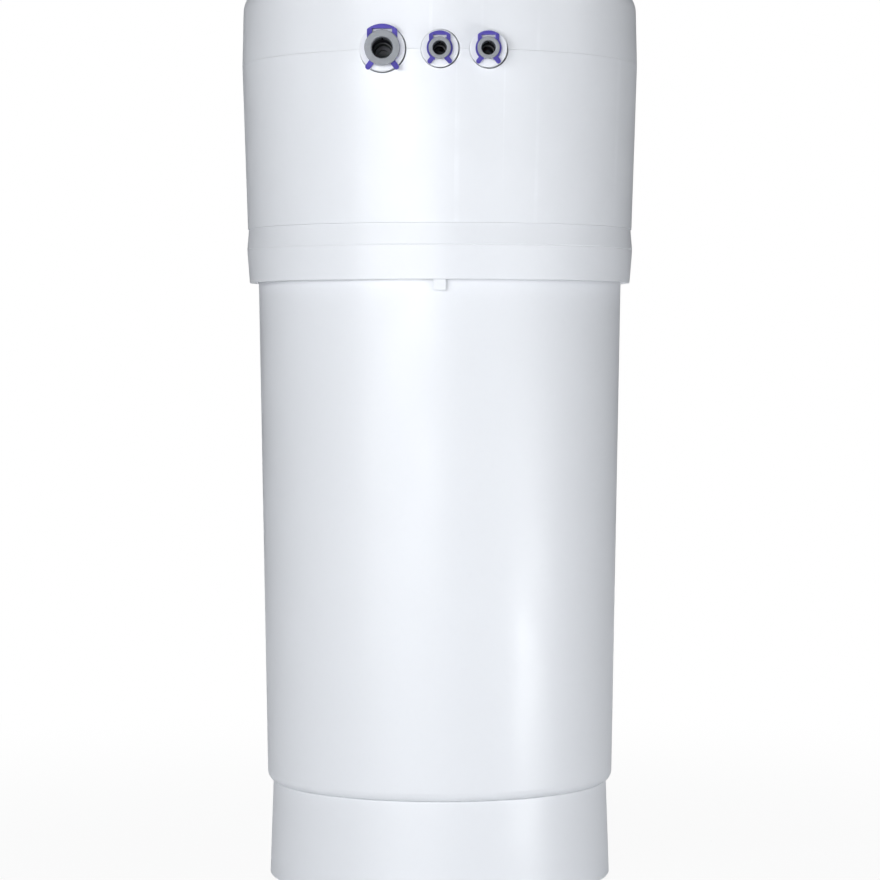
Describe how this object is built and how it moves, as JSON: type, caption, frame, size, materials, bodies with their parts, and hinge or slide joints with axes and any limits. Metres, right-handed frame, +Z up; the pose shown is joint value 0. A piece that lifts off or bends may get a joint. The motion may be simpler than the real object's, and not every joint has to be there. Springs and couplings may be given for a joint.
{
  "type": "reverse osmosis water filter",
  "caption": "Upright cylindrical reverse osmosis water filter with a base skirt, storage tank, lock ring, lift-off lid and push-fit tube ports at the rear.",
  "frame": {"origin": "on the tank's axis, level with the undersides of the feet", "axes": "+Z up along the tank's axis, -Y out of the rear side with the tube ports, +X to the right when looking at the ports"},
  "size_m": [0.1962, 0.2003, 0.4418],
  "materials": {
    "white_cover": "moulded, satin gloss",
    "white_ring": "moulded, satin gloss",
    "white_tank": "moulded, satin gloss",
    "white_base": "moulded, satin gloss",
    "white_fitting": "moulded, fine satin",
    "grey_collet": "moulded acetal, satin",
    "blue_clip": "moulded, satin",
    "inner_plastic": "moulded, matt",
    "cartridge_shell": "moulded, satin",
    "cartridge_cap": "moulded, satin",
    "filter_media": "wound and pressed media",
    "rubber_black": "moulded, matt",
    "bladder_rubber": "moulded, matt",
    "steel": "zinc plated",
    "brass": "turned",
    "tube_white": "extruded, satin"
  },
  "bodies": {
    "root": {"tank_shell": "white_tank", "base_skirt": "white_base", "base_feet": "rubber_black", "base_screws": "steel", "storage_bladder": "bladder_rubber", "air_valve": "brass", "air_valve_nut": "brass", "head_plate": "inner_plastic", "head_seal": "rubber_black", "well_seals": "rubber_black", "cartridge_well_1": "inner_plastic", "cartridge_well_2": "inner_plastic", "cartridge_well_3": "inner_plastic", "manifold": "inner_plastic", "manifold_screws": "steel", "riser_tube": "tube_white", "check_plug": "inner_plastic", "check_spring": "steel", "shutoff_body": "inner_plastic", "shutoff_diaphragm": "rubber_black", "shutoff_cover": "inner_plastic", "shutoff_line": "tube_white", "flow_restrictor": "inner_plastic", "feed_fitting": "white_fitting", "drain_fitting": "white_fitting", "product_fitting": "white_fitting", "tube_seals": "rubber_black", "stem_seals": "rubber_black", "port_retainer": "inner_plastic", "retainer_screws": "steel", "shroud": "white_cover", "shroud_screws": "steel"},
    "lid": {"lid": "white_cover"},
    "lock_ring": {"lock_ring": "white_ring"},
    "check_poppet": {"check_poppet": "inner_plastic"},
    "shutoff_plunger": {"shutoff_plunger": "inner_plastic"},
    "air_valve_cap": {"air_valve_cap": "rubber_black"},
    "feed_collet": {"feed_collet": "grey_collet"},
    "feed_clip": {"feed_clip": "blue_clip"},
    "drain_collet": {"drain_collet": "grey_collet"},
    "drain_clip": {"drain_clip": "blue_clip"},
    "product_collet": {"product_collet": "grey_collet"},
    "product_clip": {"product_clip": "blue_clip"},
    "membrane_cartridge": {"membrane_capsule": "cartridge_shell", "membrane_core": "filter_media", "membrane_cap": "cartridge_cap", "membrane_seals": "rubber_black"},
    "polishing_cartridge": {"polishing_capsule": "cartridge_shell", "polishing_core": "filter_media", "polishing_cap": "cartridge_cap", "polishing_seals": "rubber_black"},
    "prefilter_cartridge": {"prefilter_capsule": "cartridge_shell", "prefilter_core": "filter_media", "prefilter_cap": "cartridge_cap", "prefilter_seals": "rubber_black"}
  },
  "joints": [
    {"name": "lid_lift", "type": "slide", "parent": "root", "child": "lid", "axis": [0, 0, 1], "range_m": [0, 0.09]},
    {"name": "lock_ring_turn", "type": "hinge", "parent": "root", "child": "lock_ring", "pos_m": [0, 0, 0.3084], "axis": [0, 0, 1], "range_deg": [0, 22.5]},
    {"name": "feed_collet_slide", "type": "slide", "parent": "root", "child": "feed_collet", "axis": [0, -1, 0], "range_m": [0, 0.0008]},
    {"name": "feed_clip_pull", "type": "slide", "parent": "root", "child": "feed_clip", "axis": [0, 0, 1], "range_m": [0, 0.022], "deforming": ["feed_clip"]},
    {"name": "drain_collet_slide", "type": "slide", "parent": "root", "child": "drain_collet", "axis": [0, -1, 0], "range_m": [0, 0.0008]},
    {"name": "drain_clip_pull", "type": "slide", "parent": "root", "child": "drain_clip", "axis": [0, 0, 1], "range_m": [0, 0.022], "deforming": ["drain_clip"]},
    {"name": "product_collet_slide", "type": "slide", "parent": "root", "child": "product_collet", "axis": [0, -1, 0], "range_m": [0, 0.0008]},
    {"name": "product_clip_pull", "type": "slide", "parent": "root", "child": "product_clip", "axis": [0, 0, 1], "range_m": [0, 0.022], "deforming": ["product_clip"]},
    {"name": "membrane_cartridge_twist", "type": "hinge", "parent": "root", "child": "membrane_cartridge", "pos_m": [0, 0.04099, 0.39], "axis": [0, 0, 1], "range_deg": [0, 60]},
    {"name": "polishing_cartridge_twist", "type": "hinge", "parent": "root", "child": "polishing_cartridge", "pos_m": [-0.0355, -0.02049, 0.39], "axis": [0, 0, 1], "range_deg": [0, 60]},
    {"name": "prefilter_cartridge_twist", "type": "hinge", "parent": "root", "child": "prefilter_cartridge", "pos_m": [0.0355, -0.02049, 0.39], "axis": [0, 0, 1], "range_deg": [0, 60]},
    {"name": "check_poppet_lift", "type": "slide", "parent": "root", "child": "check_poppet", "axis": [0, 0, 1], "range_m": [0, 0.002], "stiffness_N_per_m": 150, "springref_m": -0.003, "deforming": ["check_spring"]},
    {"name": "shutoff_plunger_stroke", "type": "slide", "parent": "root", "child": "shutoff_plunger", "axis": [0, 0, -1], "range_m": [0, 0.002], "stiffness_N_per_m": 200, "springref_m": -0.002},
    {"name": "air_valve_cap_turn", "type": "hinge", "parent": "root", "child": "air_valve_cap", "pos_m": [0, 0, 0.011], "axis": [0, 0, 1], "range_deg": [0, 360]}
  ]
}
